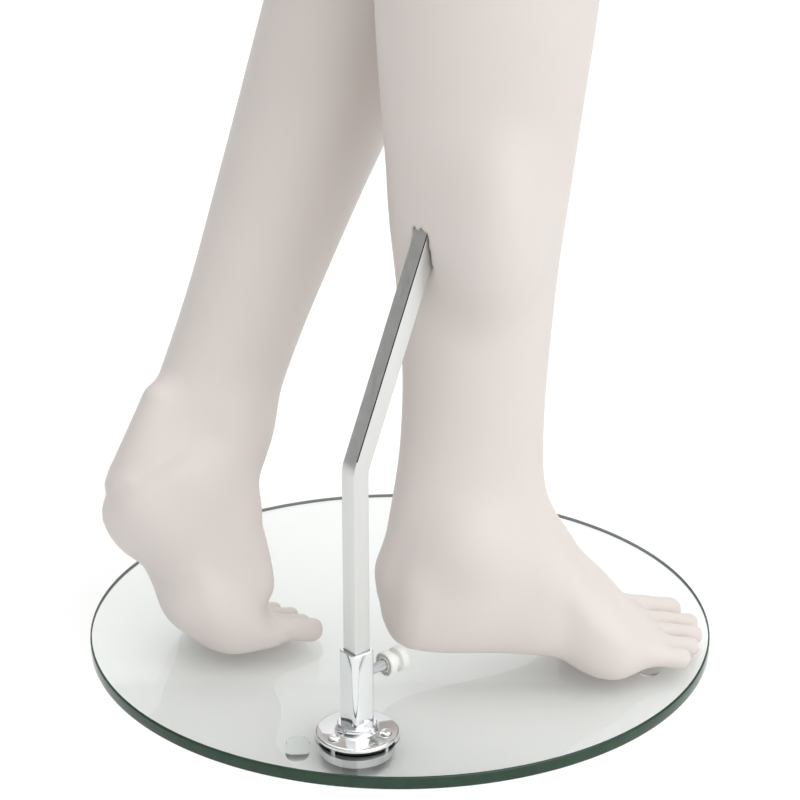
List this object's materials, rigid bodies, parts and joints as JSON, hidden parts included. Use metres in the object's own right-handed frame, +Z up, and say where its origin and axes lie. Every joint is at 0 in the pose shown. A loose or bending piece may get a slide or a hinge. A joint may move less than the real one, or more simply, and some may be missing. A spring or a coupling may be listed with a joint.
{
  "type": "full-body display mannequin",
  "caption": "Full-body female display mannequin, one heel raised, held by a bent chrome calf bar in a clamped socket on a round glass base.",
  "frame": {"origin": "centre of the bounding box's base, on the floor", "axes": "+Z up; the figure faces -Y, so its right side is -X"},
  "size_m": [0.5378, 0.4, 1.8293],
  "materials": {
    "body_shell": "satin off-white lacquer",
    "chrome": "polished",
    "steel": "plain",
    "glass": "clear, green at the edge",
    "clear_plastic": "clear",
    "knob_plastic": "milky"
  },
  "bodies": {
    "base": {"glass_base": "glass", "glass_pad_1": "clear_plastic", "glass_pad_2": "clear_plastic", "glass_pad_3": "clear_plastic", "glass_pad_4": "clear_plastic", "flange_gasket": "clear_plastic", "base_flange": "chrome", "backing_plate": "steel", "flange_screw_1": "chrome", "flange_screw_2": "chrome", "flange_screw_3": "chrome", "socket_tube": "chrome"},
    "clamp": {"clamp_screw": "steel", "clamp_knob": "knob_plastic"},
    "bar": {"support_bar": "chrome"},
    "lower": {"lower_body": "body_shell", "calf_sleeve": "steel", "waist_socket_plate": "steel", "thigh_socket_plate": "steel"},
    "raised_leg": {"left_leg": "body_shell", "thigh_peg_plate": "steel"},
    "upper": {"torso": "body_shell", "waist_peg_plate": "steel", "neck_socket_plate": "steel", "right_shoulder_socket_plate": "steel", "left_shoulder_socket_plate": "steel"},
    "head_piece": {"head": "body_shell", "neck_peg_plate": "steel"},
    "right_arm_piece": {"right_arm": "body_shell", "right_shoulder_peg_plate": "steel", "right_wrist_socket_plate": "steel"},
    "right_hand_piece": {"right_hand": "body_shell", "right_wrist_peg_plate": "steel"},
    "left_arm_piece": {"left_arm": "body_shell", "left_shoulder_peg_plate": "steel", "left_wrist_socket_plate": "steel"},
    "left_hand_piece": {"left_hand": "body_shell", "left_wrist_peg_plate": "steel"}
  },
  "joints": [
    {"name": "clamp_turn", "type": "hinge", "parent": "base", "child": "clamp", "pos_m": [-0.07898, 0.085, 0.0523], "axis": [0.2924, -0.9563, 0], "range_deg": [0, 720]},
    {"name": "bar_height", "type": "slide", "parent": "base", "child": "bar", "axis": [0, 0, 1], "range_m": [0, 0.025]},
    {"name": "figure_lift", "type": "slide", "parent": "bar", "child": "lower", "axis": [0.1142, -0.3737, 0.9205], "range_m": [0, 0.05]},
    {"name": "leg_twist", "type": "hinge", "parent": "lower", "child": "raised_leg", "pos_m": [0.06752, -0.01, 0.8133], "axis": [0, 0, -1], "range_deg": [0, 25]},
    {"name": "waist_twist", "type": "hinge", "parent": "lower", "child": "upper", "pos_m": [-0.00998, -0.014, 1.1353], "axis": [0, 0, 1], "range_deg": [0, 40]},
    {"name": "head_turn", "type": "hinge", "parent": "upper", "child": "head_piece", "pos_m": [-0.00098, -0.014, 1.5693], "axis": [0, 0, 1], "range_deg": [-55, 55]},
    {"name": "right_arm_swing", "type": "hinge", "parent": "upper", "child": "right_arm_piece", "pos_m": [-0.16398, -0.022, 1.4653], "axis": [-0.9903, 0, 0.1392], "range_deg": [-25, 60]},
    {"name": "right_hand_turn", "type": "hinge", "parent": "right_arm_piece", "child": "right_hand_piece", "pos_m": [-0.24598, -0.066, 0.9493], "axis": [-0.0912, -0.2571, -0.9621], "range_deg": [-40, 40]},
    {"name": "left_arm_swing", "type": "hinge", "parent": "upper", "child": "left_arm_piece", "pos_m": [0.16202, -0.022, 1.4653], "axis": [-0.9903, 0, -0.1392], "range_deg": [-25, 60]},
    {"name": "left_hand_turn", "type": "hinge", "parent": "left_arm_piece", "child": "left_hand_piece", "pos_m": [0.24602, -0.038, 0.9433], "axis": [0.107, -0.1728, -0.9791], "range_deg": [-40, 40]}
  ]
}
